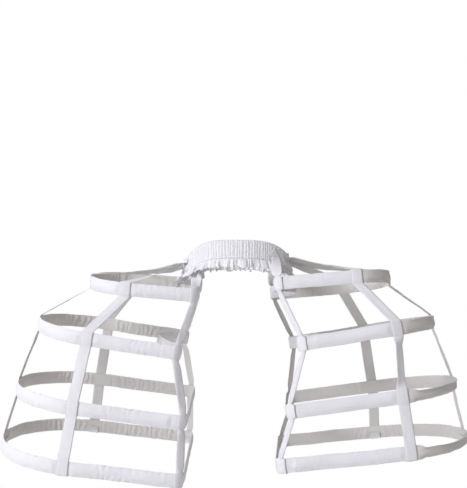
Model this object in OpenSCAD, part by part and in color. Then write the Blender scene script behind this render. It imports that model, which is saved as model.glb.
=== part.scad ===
// Pannier crinoline cage: two side-hip cages of boned hoops, hung on tapes from one shirred waistband.
// +X is to the right as seen from the front, the front faces -Y, and +Z is up.
// The origin is the centre of the waist opening.

/* [Waist] */
// Half width of the waist elastic, side to side
waist_half_w = 118; // [95:1:150]
// Half depth of the waist elastic, front to back
waist_half_d = 87; // [70:1:115]
// Height of the band's top edge above the origin at centre front and centre back
waist_rise = 41; // [20:1:60]
// How far the band dips at the left hip, where the cage pulls on it
left_dip = 46; // [20:1:48]
// How far the band dips at the right hip, where the cage pulls on it
right_dip = 31; // [20:1:48]
// Height of the flat elastic
elastic_h = 34; // [20:1:45]
// Thickness of the flat elastic
elastic_t = 1.2; // [0.8:0.1:2.5]
// Thickness of the waistband cloth
band_cloth = 0.8; // [0.5:0.1:1.5]
// Number of gathered ribs round the waistband
rib_count = 116; // [60:2:140]
// Height of one gathered rib above the band's face
rib_depth = 1.3; // [0.4:0.1:2.5]

/* [Frill] */
// Length of the frill below the waistband, at the front and back
frill_h = 18; // [8:1:30]
// Length of the frill at the hips, where the tapes draw it up
frill_hip_h = 7; // [3:0.5:8]
// Thickness of the frill cloth
frill_t = 0.9; // [0.6:0.1:1.5]
// Length of the frill that is sewn up inside the waistband
frill_header = 5; // [3:0.5:10]
// Number of folds round the frill
frill_folds = 58; // [30:2:70]
// Swing of a fold to either side, at the hem
frill_wave = 4.2; // [1:0.2:8]
// How far the hem stands out from the waistband
frill_flare = 5; // [0:0.5:12]

/* [Hoop casing] */
// Height of a hoop casing
casing_h = 29; // [24:0.5:40]
// Thickness of the casing cloth
casing_cloth = 0.6; // [0.4:0.1:1.2]
// Gap between the two ends of a casing, behind the outer back tape
casing_gap = 2; // [1:0.5:4]
// Distance of the joint in a casing and its bone past the end of the hoop's back leg
joint_set = 17; // [16:0.5:18]
// Radius of the two inner corners of every hoop
corner_r = 20; // [20:1:32]
// Length of the lapped seams where a bowed or slanted inner side meets its corners
seam_len = 2; // [1:0.5:4]
// Extra thickness of those seams on every face
seam_lap = 0.08; // [0.05:0.01:0.15]

/* [Bones] */
// Height of the flat steel bone
bone_h = 10; // [6:0.5:13]
// Thickness of the flat steel bone
bone_t = 0.6; // [0.4:0.1:1.2]
// Gap between the two ends of a bone, inside its joining sleeve
bone_gap = 2; // [1:0.5:6]
// Length of the sleeve that joins the ends of a bone
joiner_len = 30; // [20:1:32]
// Wall of the joining sleeve
joiner_wall = 0.4; // [0.3:0.05:0.8]
// Slip of the bone in its joining sleeve, each side
joiner_slip = 0.1; // [0.05:0.05:0.3]

/* [Tapes] */
// Width of a tape
tape_w = 24; // [16:0.5:30]
// Width of the left cage's inner tapes between the hoops, where they pull narrow
left_tape_neck = 20; // [10:0.5:24]
// Width of the right cage's inner tapes between the hoops, where they pull narrow
right_tape_neck = 15; // [10:0.5:24]
// Thickness of a tape
tape_t = 1.4; // [1:0.1:2]
// Distance from the band's top edge to the sewn ends of the left cage's inner tapes
left_tape_top = 8; // [2:0.5:10]
// Distance from the band's top edge to the sewn ends of the right cage's inner tapes
right_tape_top = 7; // [2:0.5:10]
// Distance from the band's top edge to the sewn ends of the three outer tapes of both cages
outer_tape_top = 2; // [2:0.5:12]
// Length of a tape that is sewn flat to the waistband
tape_lap = 10; // [8:1:16]
// Length of a tape that is turned up inside the bottom hoop
tape_hem = 14; // [10:0.5:22]
// How far a tape runs past the edge of a casing before it bends to the next hoop
tape_ease = 1.4; // [1:0.1:4]
// Sag of the tapes between the waistband and the top hoop
roof_sag = 4; // [0:0.5:15]
// Twist of the outer tapes where they leave the waistband, in degrees
roof_twist = 40; // [0:1:50]
// Angle round the waist from the hip to the inner tapes
inner_tape_angle = 44; // [38:1:60]
// Angle round the waist from the hip to the outer front and back tapes
outer_tape_angle = 21; // [20:0.5:24]
// Angle round a hoop's inner corner, from its leg to the inner tapes
corner_turn = 38; // [36:1:48]
// Distance of the outer front and back tapes past the end of a hoop's leg
outer_tape_set = 8; // [6:0.5:14]
// Further distance of the right outer front tape on the top hoop
right_top_shift = 2; // [0:1:30]
// Further distance of the right outer front tape on the second hoop
right_second_shift = 25; // [0:1:40]
// Further distance of the right outer front tape on the third hoop
right_third_shift = 6; // [0:1:30]
// Further distance of the right outer front tape on the bottom hoop
right_bottom_shift = 10; // [0:1:30]

/* [Top hoop] */
// Distance of the top hoop's inner corners from the centre line
top_inner = 82; // [60:1:90]
// Distance of the left top hoop's outermost point from the centre line
left_top_reach = 327; // [300:1:380]
// Distance of the right top hoop's outermost point from the centre line
right_top_reach = 346; // [300:1:380]
// Depth of the top hoop, front to back
top_depth = 192; // [170:1:230]
// Bow of the top hoop's inner side round the hip
top_bow = 52; // [46:1:55]
// Height of the top hoop's inner side, below the origin
top_drop = 64; // [55:1:80]
// Rise of the top hoop towards its outer end, in degrees
top_roll = 5; // [0:0.5:8]

/* [Second hoop] */
// Distance of the left second hoop's inner corners from the centre line
left_second_inner = 116; // [90:1:135]
// Distance of the right second hoop's inner corners from the centre line
right_second_inner = 129; // [90:1:135]
// Distance of the second hoop's outermost point from the centre line
second_reach = 444; // [400:1:480]
// Depth of the second hoop, front to back
second_depth = 278; // [240:1:310]
// Bow of the second hoop's inner side round the hip
second_bow = 60; // [20:1:80]
// Height of the second hoop's inner side, below the origin
second_drop = 187; // [165:1:210]
// Rise of the second hoop towards its outer end, in degrees
second_roll = 9; // [4:0.5:12]

/* [Third hoop] */
// Distance of the third hoop's inner corners from the centre line
third_inner = 103; // [85:1:125]
// Distance of the third hoop's outermost point from the centre line
third_reach = 488; // [450:1:520]
// Depth of the third hoop, front to back
third_depth = 320; // [290:1:350]
// Height of the third hoop's inner side, below the origin
third_drop = 324; // [300:1:345]
// Rise of the third hoop towards its outer end, in degrees
third_roll = 7.5; // [4:0.5:11]

/* [Bottom hoop] */
// Distance of the left bottom hoop's inner corners from the centre line
left_bottom_inner = 108; // [85:1:125]
// Distance of the right bottom hoop's inner corners from the centre line
right_bottom_inner = 82; // [65:1:115]
// Distance of the left bottom hoop's outermost point from the centre line
left_bottom_reach = 517; // [490:1:550]
// Distance of the right bottom hoop's outermost point from the centre line
right_bottom_reach = 509; // [490:1:550]
// Depth of the bottom hoop, front to back
bottom_depth = 348; // [320:1:380]
// Height of the left bottom hoop's inner side, below the origin
left_bottom_drop = 437; // [415:1:460]
// Height of the right bottom hoop's inner side, below the origin
right_bottom_drop = 430; // [415:1:460]
// Rise of the left bottom hoop towards its outer end, in degrees
left_bottom_roll = 6.5; // [3:0.5:10]
// Rise of the right bottom hoop towards its outer end, in degrees
right_bottom_roll = 5.5; // [3:0.5:10]

/* [Hang] */
// Rise of the left top hoop towards its back, in degrees
left_top_pitch = 8; // [-9:0.5:9]
// Rise of the right top hoop towards its back, in degrees
right_top_pitch = -6.5; // [-9:0.5:9]
// Rise of the left cage's other hoops towards their backs, in degrees
left_pitch = 4.5; // [-6:0.5:8]
// Rise of the right cage's other hoops towards their backs, in degrees
right_pitch = -2.5; // [-6:0.5:8]
// How much lower the left cage hangs
left_sink = 2; // [0:1:12]
// How much lower the right cage hangs
right_sink = 0; // [0:1:12]
// How much further out the back inner corners of the left cage's lower two hoops sit
left_slant = 0; // [0:1:40]
// How much further out the back inner corners of the right cage's lower two hoops sit
right_slant = 22; // [0:1:40]

/* [Fit] */
// Clearance between pieces that lie against each other
clearance = 0.3; // [0.2:0.05:0.6]

/* [Hidden] */
SIDE_NAMES = ["left", "right"];
HOOP_NAMES = ["top", "second", "third", "bottom"];
TAPE_NAMES = ["inner_front", "outer_front", "side", "outer_back", "inner_back"];
SIDES = [0, 1];
HOOPS = [0, 1, 2, 3];
TAPES = [0, 1, 2, 3, 4];
TOP = 0;
BOTTOM = 3;

function casing_name(s, i) = str(SIDE_NAMES[s], "_", HOOP_NAMES[i], "_hoop_casing");
function bone_name(s, i) = str(SIDE_NAMES[s], "_", HOOP_NAMES[i], "_hoop_bone");
function joiner_name(s) = str(SIDE_NAMES[s], "_bone_joiners");
function tape_name(s, k) = str(SIDE_NAMES[s], "_", TAPE_NAMES[k], "_tape");

$fn = 96;

CLOTH_WHITE = [0.95, 0.95, 0.97];
TAPE_WHITE = [0.90, 0.90, 0.93];
ELASTIC_WHITE = [0.86, 0.86, 0.88];
BONE_STEEL = [0.70, 0.71, 0.73];
JOINER_STEEL = [0.55, 0.56, 0.58];

// Section sizes that follow from the bone, the joining sleeve and the cloth round them
joiner_t = bone_t + 2 * (joiner_slip + joiner_wall);
joiner_h = bone_h + 2 * (joiner_slip + joiner_wall);
channel_t = joiner_t + 2 * clearance;
channel_h = joiner_h + 2 * clearance;
casing_t = channel_t + 2 * casing_cloth;
casing_edge = 2 * casing_cloth;
shoulder_z = channel_h / 2 + casing_cloth;

// Waistband sizes, measured from the middle of the elastic's thickness
band_cavity = elastic_t / 2 + clearance;
band_face = band_cavity + band_cloth;
band_crest = band_face + rib_depth;
elastic_top = band_cloth + clearance;
header_top = elastic_top + elastic_h + clearance;
band_h = header_top + frill_header;

// Sizes of every hoop from the top down, by side where the two cages differ
hoop_half = [top_depth, second_depth, third_depth, bottom_depth] / 2;
hoop_bow = [top_bow, second_bow, 0, 0];
hoop_inner = [
    [top_inner, left_second_inner, third_inner, left_bottom_inner],
    [top_inner, right_second_inner, third_inner, right_bottom_inner]
];
hoop_reach = [
    [left_top_reach, second_reach, third_reach, left_bottom_reach],
    [right_top_reach, second_reach, third_reach, right_bottom_reach]
];
hoop_drop = [
    [top_drop, second_drop, third_drop, left_bottom_drop],
    [top_drop, second_drop, third_drop, right_bottom_drop]
];
hoop_roll = [
    [top_roll, second_roll, third_roll, left_bottom_roll],
    [top_roll, second_roll, third_roll, right_bottom_roll]
];
front_tape_shift = [
    [0, 0, 0, 0],
    [right_top_shift, right_second_shift, right_third_shift, right_bottom_shift]
];
hoop_pitch = [
    [left_top_pitch, left_pitch, left_pitch, left_pitch],
    [right_top_pitch, right_pitch, right_pitch, right_pitch]
];
cage_sink = [left_sink, right_sink];
cage_dip = [left_dip, right_dip];
inner_tape_top = [left_tape_top, right_tape_top];
cage_neck = [left_tape_neck, right_tape_neck];
cage_slant = [left_slant, right_slant];

function unit(v) = v / norm(v);
function mix(a, b, f) = a * (1 - f) + b * f;
function arc_degrees(len, r) = len / r * 180 / PI;

// A hoop is drawn flat, then rolled up towards its outer end and pitched towards its back
function roll_up(s, i, v) = [
    v.x * cos(hoop_roll[s][i]) - v.z * sin(hoop_roll[s][i]),
    v.y,
    v.x * sin(hoop_roll[s][i]) + v.z * cos(hoop_roll[s][i])
];
function pitch_back(s, i, v) = [
    v.x,
    v.y * cos(hoop_pitch[s][i]) - v.z * sin(hoop_pitch[s][i]),
    v.y * sin(hoop_pitch[s][i]) + v.z * cos(hoop_pitch[s][i])
];
function hang_direction(s, i, v) = pitch_back(s, i, roll_up(s, i, v));
function hoop_pivot(s, i) = [hoop_inner[s][i], 0, 0];
function hoop_level(s, i) = [hoop_inner[s][i], 0, -hoop_drop[s][i] - cage_sink[s]];
function hang_point(s, i, p) = hoop_level(s, i) + hang_direction(s, i, p - hoop_pivot(s, i));

module hang(s, i) {
    translate(hoop_level(s, i))
        rotate([hoop_pitch[s][i], 0, 0])
            rotate([0, -hoop_roll[s][i], 0])
                translate(-hoop_pivot(s, i))
                    children();
}

// Cages are drawn on the right and mirrored for the left
module on_side(s) {
    mirror([s == 0 ? 1 : 0, 0, 0]) children();
}

// Plan of a hoop: two straight legs, a round outer end, two inner corners, and an inner side that
// is bowed outwards to pass round the hip, or straight and slanted. End -1 is the front, 1 the back.
function end_centre(s, i) = [hoop_reach[s][i] - hoop_half[i], 0, 0];
function slant(s, i) = hoop_bow[i] > 0 ? 0 : cage_slant[s];
function corner_x(s, i, end) = hoop_inner[s][i] + corner_r + (end > 0 ? slant(s, i) : 0);
function corner_y(i) = hoop_half[i] - corner_r;
function leg_len(s, i, end) = end_centre(s, i).x - corner_x(s, i, end);
function slant_angle(s, i) = atan2(slant(s, i), 2 * corner_y(i));
function corner_angle(s, i, end) = 180 + end * bow_angle(i) - slant_angle(s, i);
function inner_end(s, i, end) =
    let (a = corner_angle(s, i, end))
    [corner_x(s, i, end) + corner_r * cos(a), end * corner_y(i) + corner_r * sin(a), 0];
function bow_r(i) = (corner_y(i) ^ 2 + hoop_bow[i] ^ 2) / (2 * hoop_bow[i]) - corner_r;
function bow_angle(i) = hoop_bow[i] > 0 ? asin(corner_y(i) / (bow_r(i) + corner_r)) : 0;
function bow_centre_x(s, i) = hoop_inner[s][i] + hoop_bow[i] - bow_r(i);
function past_leg(i, set) = 90 - arc_degrees(set, hoop_half[i]);

// One arc of a hoop, with the section as its child
module hoop_arc(x, y, r, from, to) {
    translate([x, y, 0])
        rotate([0, 0, from])
            rotate_extrude(angle = to - from)
                translate([r, 0])
                    children();
}

// One straight stretch of a hoop along +X, or along +Y when turned
module hoop_straight(x, y, len, turn) {
    translate([x, y, 0])
        rotate([0, 0, turn])
            rotate([90, 0, 90])
                linear_extrude(len)
                    children();
}

// The lapped seam at one end of a bowed or slanted inner side, upright across the hoop's line there
module hoop_seam(s, i, end) {
    translate(inner_end(s, i, end))
        rotate([0, 0, corner_angle(s, i, end)])
            rotate([90, 0, 0])
                linear_extrude(seam_len, center = true)
                    children();
}

// A whole hoop swept with its section, the first child, and open by a gap at the joint on its outer
// end. The second child is the section of a lapped seam.
module hoop_sweep(s, i, gap) {
    start = inner_end(s, i, -1);
    finish = inner_end(s, i, 1);
    round_x = end_centre(s, i).x;
    for (end = [-1, 1])
        hoop_straight(corner_x(s, i, end), end * hoop_half[i], leg_len(s, i, end), 0) children(0);
    hoop_arc(round_x, 0, hoop_half[i], -90, past_leg(i, joint_set + gap / 2)) children(0);
    hoop_arc(round_x, 0, hoop_half[i], 90, past_leg(i, joint_set - gap / 2)) children(0);
    hoop_arc(corner_x(s, i, 1), corner_y(i), corner_r, 90, corner_angle(s, i, 1)) children(0);
    hoop_arc(corner_x(s, i, -1), -corner_y(i), corner_r, 270, corner_angle(s, i, -1)) children(0);
    if (hoop_bow[i] > 0)
        hoop_arc(bow_centre_x(s, i), 0, bow_r(i), -bow_angle(i), bow_angle(i)) children(0);
    else
        hoop_straight(start.x, start.y, norm(finish - start), 90 - slant_angle(s, i)) children(0);
    if (hoop_bow[i] > 0 || slant(s, i) > 0)
        for (end = [-1, 1]) hoop_seam(s, i, end) children(1);
}

// Flat cloth tube, thicker by the lap at a seam: full where the bone runs, thinner towards its edges
module casing_section(lap) {
    difference() {
        polygon([
            for (side = [1, -1])
                each [
                    side * [casing_edge / 2 + lap, -casing_h / 2 - lap],
                    side * [casing_t / 2 + lap, -shoulder_z],
                    side * [casing_t / 2 + lap, shoulder_z],
                    side * [casing_edge / 2 + lap, casing_h / 2 + lap]
                ]
        ]);
        square([channel_t - 2 * lap, channel_h - 2 * lap], center = true);
    }
}

module bone_section(lap) {
    square([bone_t + 2 * lap, bone_h + 2 * lap], center = true);
}

module joiner_section() {
    difference() {
        square([joiner_t, joiner_h], center = true);
        square([bone_t + 2 * joiner_slip, bone_h + 2 * joiner_slip], center = true);
    }
}

module hoop_casing(s, i) {
    color(CLOTH_WHITE) on_side(s) hang(s, i) hoop_sweep(s, i, casing_gap) {
        casing_section(0);
        casing_section(seam_lap);
    }
}

module hoop_bone(s, i) {
    color(BONE_STEEL) on_side(s) hang(s, i) hoop_sweep(s, i, bone_gap) {
        bone_section(0);
        bone_section(seam_lap);
    }
}

module bone_joiners(s) {
    color(JOINER_STEEL) on_side(s)
        for (i = HOOPS) {
            from = past_leg(i, joint_set + joiner_len / 2);
            to = past_leg(i, joint_set - joiner_len / 2);
            hang(s, i)
                hoop_arc(end_centre(s, i).x, 0, hoop_half[i], from, to)
                    joiner_section();
        }
}

// Where a tape crosses a hoop: the centre and radius of that arc, and the angle on it
function cross_centre(s, i, k) =
    k == 0 ? [corner_x(s, i, -1), -corner_y(i), 0] :
    k == 4 ? [corner_x(s, i, 1), corner_y(i), 0] :
    end_centre(s, i);
function is_inner(k) = k == 0 || k == 4;
function cross_r(i, k) = is_inner(k) ? corner_r : hoop_half[i];
function cross_angle(s, i, k) = [
    270 - corner_turn,
    -past_leg(i, outer_tape_set + front_tape_shift[s][i]),
    0,
    past_leg(i, outer_tape_set),
    90 + corner_turn
][k];
function cross_out(s, i, k) = [cos(cross_angle(s, i, k)), sin(cross_angle(s, i, k)), 0];
function cross_along(s, i, k) = [-sin(cross_angle(s, i, k)), cos(cross_angle(s, i, k)), 0];

// A tape station holds the tape's middle, its width direction and its half width, and, where it lies
// on a round surface, the direction out of that surface and its radius
function hoop_station(s, i, k, out, z, half_w) =
    let (p = cross_centre(s, i, k) + (cross_r(i, k) + out) * cross_out(s, i, k) + [0, 0, z])
    [
        hang_point(s, i, p),
        hang_direction(s, i, cross_along(s, i, k)),
        half_w,
        hang_direction(s, i, cross_out(s, i, k)),
        cross_r(i, k) + out
    ];

tape_edge_out = casing_edge / 2 + clearance + tape_t / 2;
tape_full_out = casing_t / 2 + clearance + tape_t / 2;
tape_past = casing_h / 2 + clearance + tape_t / 2;

function neck_w(s, k) = is_inner(k) ? cage_neck[s] : tape_w;

function hoop_stations(s, i, k) = concat(
    [
        hoop_station(s, i, k, tape_edge_out, casing_h / 2 + tape_ease, tape_w / 2),
        hoop_station(s, i, k, tape_full_out, shoulder_z, tape_w / 2),
        hoop_station(s, i, k, tape_full_out, -shoulder_z, tape_w / 2)
    ],
    i == BOTTOM ? [
        hoop_station(s, i, k, tape_edge_out, -tape_past, tape_w / 2),
        hoop_station(s, i, k, -tape_edge_out, -tape_past, tape_w / 2),
        hoop_station(s, i, k, -tape_full_out, -shoulder_z, tape_w / 2),
        hoop_station(s, i, k, -tape_full_out, tape_hem - casing_h / 2, tape_w / 2)
    ] : [
        hoop_station(s, i, k, tape_edge_out, -casing_h / 2 - tape_ease, tape_w / 2)
    ]
);

// Between two stations a tape runs straight, flat and, on the inner tapes, narrower
NECK_AT = [0.16, 0.84];
function run_stations(a, b, w) = [
    for (f = NECK_AT)
        [mix(a[0], b[0], f), unit(mix(a[1], b[1], f)), w / 2, [0, 0, 0], 0]
];

// The waist is an ellipse whose band dips at both hips
function waist_angle(k) = [-inner_tape_angle, -outer_tape_angle, 0, outer_tape_angle, inner_tape_angle][k];
function waist_out(a) = unit([cos(a) / waist_half_w, sin(a) / waist_half_d, 0]);
function waist_along(a) = unit([-waist_half_w * sin(a), waist_half_d * cos(a), 0]);
function waist_bend(a) =
    ((waist_half_w * sin(a)) ^ 2 + (waist_half_d * cos(a)) ^ 2) ^ 1.5 / (waist_half_w * waist_half_d);
function dipped_point(dip, a, out, down) =
    [waist_half_w * cos(a), waist_half_d * sin(a), waist_rise - dip * cos(a) ^ 4 - down]
    + out * waist_out(a);
function waist_point(a, out, down) = dipped_point(cos(a) > 0 ? right_dip : left_dip, a, out, down);

function waist_station(s, k, down) =
    let (a = waist_angle(k), out = band_crest + clearance + tape_t / 2)
    [
        dipped_point(cage_dip[s], a, out, down),
        waist_along(a),
        tape_w / 2,
        waist_out(a),
        waist_bend(a) + out
    ];

// From the waistband a tape runs out to the top hoop with a slight sag. The outer tapes leave the band
// with their front edges raised and lie flat again at the hoop.
ROOF_AT = [0.14, 0.38, 0.62, 0.86];
function turned(v, axis, angle) =
    v * cos(angle) + cross(axis, v) * sin(angle) + axis * (axis * v) * (1 - cos(angle));
function roof_stations(a, b, twist) =
    let (run = unit(b[0] - a[0]))
    [
        for (f = ROOF_AT)
            [
                mix(a[0], b[0], f) - [0, 0, 4 * roof_sag * f * (1 - f)],
                turned(unit(mix(a[1], b[1], f)), run, twist * (1 - f)),
                tape_w / 2,
                [0, 0, 0],
                0
            ]
    ];

function tape_stations(s, k) =
    let (
        sewn = is_inner(k) ? inner_tape_top[s] : outer_tape_top,
        laps = [for (down = [0, tape_lap]) waist_station(s, k, sewn + down)],
        crossings = [for (i = HOOPS) hoop_stations(s, i, k)],
        last = len(crossings[TOP]) - 1
    )
    concat(
        laps,
        roof_stations(laps[1], crossings[TOP][0], is_inner(k) ? 0 : -roof_twist),
        [
            for (i = HOOPS)
                each concat(
                    crossings[i],
                    i == BOTTOM ? [] : run_stations(crossings[i][last], crossings[i + 1][0], neck_w(s, k))
                )
        ]
    );

// How far the edges of a tape fall back to lie on a round surface
function fall_back(u, r) = r > 0 ? r - sqrt(r ^ 2 - u ^ 2) : 0;

// Ring of points across a tape at one station, mitred to the runs before and after it
function tape_ring(st, n, cols) =
    let (
        prev = st[max(n - 1, 0)][0],
        next = st[min(n + 1, len(st) - 1)][0],
        here = st[n],
        back = n > 0 ? unit(here[0] - prev) : unit(next - here[0]),
        ahead = n < len(st) - 1 ? unit(next - here[0]) : back,
        travel = unit(back + ahead),
        face = unit(cross(travel, here[1])),
        half = tape_t / 2 / (travel * ahead),
        spots = [for (c = [0 : cols]) here[2] * (2 * c / cols - 1)],
        line = [for (u = spots) here[0] + u * here[1] - fall_back(u, here[4]) * here[3]]
    )
    concat(
        [for (c = [0 : cols]) line[c] + half * face],
        [for (c = [cols : -1 : 0]) line[c] - half * face]
    );

// Skin of a row of point rings: a closed loop, or a run with a cap on each end. A ring runs along one
// face and back along the other, and both faces split their panels along the same diagonal.
module loft(rings, closed) {
    count = len(rings);
    size = len(rings[0]);
    runs = closed ? count : count - 1;
    sides = [
        for (r = [0 : runs - 1], p = [0 : size - 1])
            let (
                a = r * size + p,
                b = r * size + (p + 1) % size,
                c = (r + 1) % count * size + (p + 1) % size,
                d = (r + 1) % count * size + p
            )
            each p < size / 2 ? [[a, b, c], [a, c, d]] : [[a, b, d], [b, c, d]]
    ];
    caps = closed ? [] : [
        [for (p = [size - 1 : -1 : 0]) p],
        [for (p = [0 : size - 1]) (count - 1) * size + p]
    ];
    polyhedron(points = [for (ring = rings) each ring], faces = concat(sides, caps));
}

// The inner tapes bend round the tight corners, so they have more columns across
INNER_COLUMNS = 4;
OUTER_COLUMNS = 2;

module tape(s, k) {
    stations = tape_stations(s, k);
    cols = is_inner(k) ? INNER_COLUMNS : OUTER_COLUMNS;
    color(TAPE_WHITE) on_side(s)
        loft([for (n = [0 : len(stations) - 1]) tape_ring(stations, n, cols)], false);
}

ELASTIC_COLUMNS = 72;

module waist_elastic() {
    color(ELASTIC_WHITE)
        loft([
            for (c = [0 : ELASTIC_COLUMNS - 1])
                let (a = 360 * c / ELASTIC_COLUMNS)
                [
                    waist_point(a, elastic_t / 2, elastic_top),
                    waist_point(a, -elastic_t / 2, elastic_top),
                    waist_point(a, -elastic_t / 2, elastic_top + elastic_h),
                    waist_point(a, elastic_t / 2, elastic_top + elastic_h)
                ]
        ], true);
}

// Cloth folded over the elastic's top edge, gathered into upright ribs on both faces
module waist_casing() {
    columns = 2 * rib_count;
    color(CLOTH_WHITE)
        loft([
            for (c = [0 : columns - 1])
                let (
                    a = 360 * c / columns,
                    face = c % 2 == 0 ? band_crest : band_face
                )
                [
                    waist_point(a, face, band_h),
                    waist_point(a, face, band_cloth),
                    waist_point(a, 0, 0),
                    waist_point(a, -face, band_cloth),
                    waist_point(a, -face, band_h),
                    waist_point(a, -band_cavity, band_h),
                    waist_point(a, -band_cavity, band_cloth),
                    waist_point(a, band_cavity, band_cloth),
                    waist_point(a, band_cavity, band_h)
                ]
        ], true);
}

// Slow change in the size of the folds round the frill
SWELL_COUNT = 7;
SWELL_SHARE = 0.25;
FOLD_COLUMNS = 4;
function fold_swing(a) = frill_wave * sin(frill_folds * a) * (1 - SWELL_SHARE * cos(SWELL_COUNT * a));
function frill_length(a) = mix(frill_h, frill_hip_h, cos(a) ^ 4);

// One column of the frill: its angle, its point on the hem, and half the cloth square to the fold there
frill_columns = FOLD_COLUMNS * frill_folds;
function frill_angle(c) = 360 * (c + 0.5) / frill_columns;
function hem_point(c) =
    let (a = frill_angle(c))
    waist_point(a, frill_flare + fold_swing(a), band_h + frill_length(a));
function level_run(a, b) = unit([b.x - a.x, b.y - a.y, 0]);
function hem_half(c) =
    let (
        back = level_run(hem_point(c - 1), hem_point(c)),
        ahead = level_run(hem_point(c), hem_point(c + 1)),
        travel = unit(back + ahead)
    )
    frill_t / 2 / (travel * ahead) * [travel.y, -travel.x, 0];

module waist_frill() {
    color(CLOTH_WHITE)
        loft([
            for (c = [0 : frill_columns - 1])
                let (a = frill_angle(c))
                [
                    waist_point(a, frill_t / 2, header_top),
                    waist_point(a, -frill_t / 2, header_top),
                    waist_point(a, -frill_t / 2, band_h),
                    hem_point(c) - hem_half(c),
                    hem_point(c) + hem_half(c),
                    waist_point(a, frill_t / 2, band_h)
                ]
        ], true);
}

waist_elastic();
waist_casing();
waist_frill();
for (s = SIDES, i = HOOPS) hoop_casing(s, i);
for (s = SIDES, i = HOOPS) hoop_bone(s, i);
for (s = SIDES) bone_joiners(s);
for (s = SIDES, k = TAPES) tape(s, k);
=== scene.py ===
"""Looks of the pannier crinoline cage: gathered cloth, boned casings and woven tapes on the CAD frame."""
from __future__ import annotations

import logging
import math
from dataclasses import dataclass, field, replace
from enum import Enum
from typing import Callable

import bmesh
import bpy
from mathutils import Matrix, Vector, noise


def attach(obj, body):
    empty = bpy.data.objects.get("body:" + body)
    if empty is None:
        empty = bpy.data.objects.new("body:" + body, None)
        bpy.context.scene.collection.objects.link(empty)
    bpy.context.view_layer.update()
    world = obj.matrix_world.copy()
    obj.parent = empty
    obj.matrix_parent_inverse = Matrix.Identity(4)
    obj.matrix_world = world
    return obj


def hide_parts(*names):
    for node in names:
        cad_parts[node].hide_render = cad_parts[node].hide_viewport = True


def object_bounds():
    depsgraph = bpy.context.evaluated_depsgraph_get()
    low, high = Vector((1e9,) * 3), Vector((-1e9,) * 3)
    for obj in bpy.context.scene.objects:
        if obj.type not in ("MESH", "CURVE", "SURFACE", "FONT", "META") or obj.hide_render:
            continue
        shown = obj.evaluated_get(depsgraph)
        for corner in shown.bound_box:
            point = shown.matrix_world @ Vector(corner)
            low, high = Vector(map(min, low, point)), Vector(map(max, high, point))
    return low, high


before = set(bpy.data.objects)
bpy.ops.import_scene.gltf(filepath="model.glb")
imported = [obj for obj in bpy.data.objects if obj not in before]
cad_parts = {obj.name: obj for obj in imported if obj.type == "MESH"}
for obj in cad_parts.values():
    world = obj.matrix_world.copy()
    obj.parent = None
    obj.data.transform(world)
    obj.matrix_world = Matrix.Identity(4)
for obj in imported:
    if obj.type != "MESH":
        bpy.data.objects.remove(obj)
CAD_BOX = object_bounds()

LOG = logging.getLogger("crinoline")
MM = 0.001
BODY = "root"
UP = Vector((0.0, 0.0, 1.0))
UV_NAME = "cloth"
# Name of the cloth attribute that gives the share of painted shade, the darker colour of the cloth's other
# side.
REVERSE_SHADE = "shaded_reverse"
Colour = tuple[float, float, float]
Place = tuple[float, float, float]


def clamp(value: float, low: float = 0.0, high: float = 1.0) -> float:
    """Return the value held between low and high."""
    return max(low, min(high, value))


def smooth(start: float, end: float, value: float) -> float:
    """Ease from 0 to 1 between two values.

    Args:
        start: Value at which the result is 0.
        end: Value at which the result is 1.
        value: Value to place between them.

    Returns:
        The eased share, from 0 to 1.
    """
    share = clamp((value - start) / (end - start))
    return share * share * (3.0 - 2.0 * share)


def mix(a: float, b: float, share: float) -> float:
    """Return the value that lies a share of the way from a to b."""
    return a + (b - a) * share


def window(value: float, opens: float, opened: float, closes: float, closed: float) -> float:
    """Return 1 while a value is inside a window, easing to 0 at both ends."""
    return smooth(opens, opened, value) * (1.0 - smooth(closes, closed, value))


def ripple(x: float, y: float, z: float) -> float:
    """Return smooth noise, about -1 to 1, at a point."""
    return noise.noise(Vector((x, y, z)))


def waver(a: float, rate: float, layer: float) -> float:
    """Return smooth noise at an angle round the waist. Each layer is noise of its own."""
    return ripple(rate * math.cos(a), rate * math.sin(a), layer)


def settle(name: str, bm: bmesh.types.BMesh) -> bpy.types.Object:
    """Turn a bmesh into an object of the scene.

    Args:
        name: Name of the object and of its mesh.
        bm: The bmesh, which is freed.

    Returns:
        The new object.
    """
    mesh = bpy.data.meshes.new(name)
    bm.to_mesh(mesh)
    bm.free()
    piece = bpy.data.objects.new(name, mesh)
    bpy.context.scene.collection.objects.link(piece)
    return piece


class Named(Enum):
    """Names of pieces, as the node names have them."""

    @property
    def word(self) -> str:
        """Return the name's word in the node names."""
        return self.name.lower()


class Side(Named):
    """The two cages, by the sign of their X."""

    LEFT = -1
    RIGHT = 1


class HoopName(Named):
    """The hoops of a cage, from the top down."""

    TOP = 0
    SECOND = 1
    THIRD = 2
    BOTTOM = 3


class TapeName(Named):
    """The tapes of a cage, from the front round to the back."""

    INNER_FRONT = 0
    OUTER_FRONT = 1
    SIDE = 2
    OUTER_BACK = 3
    INNER_BACK = 4

    @property
    def is_inner(self) -> bool:
        """Return whether the tape runs down a hoop's inner corners."""
        return self in (TapeName.INNER_FRONT, TapeName.INNER_BACK)


class Weave(Enum):
    """Ways in which a cloth's threads cross."""

    PLAIN = "plain"
    HERRINGBONE = "herringbone"
    KNIT = "knit"


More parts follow.
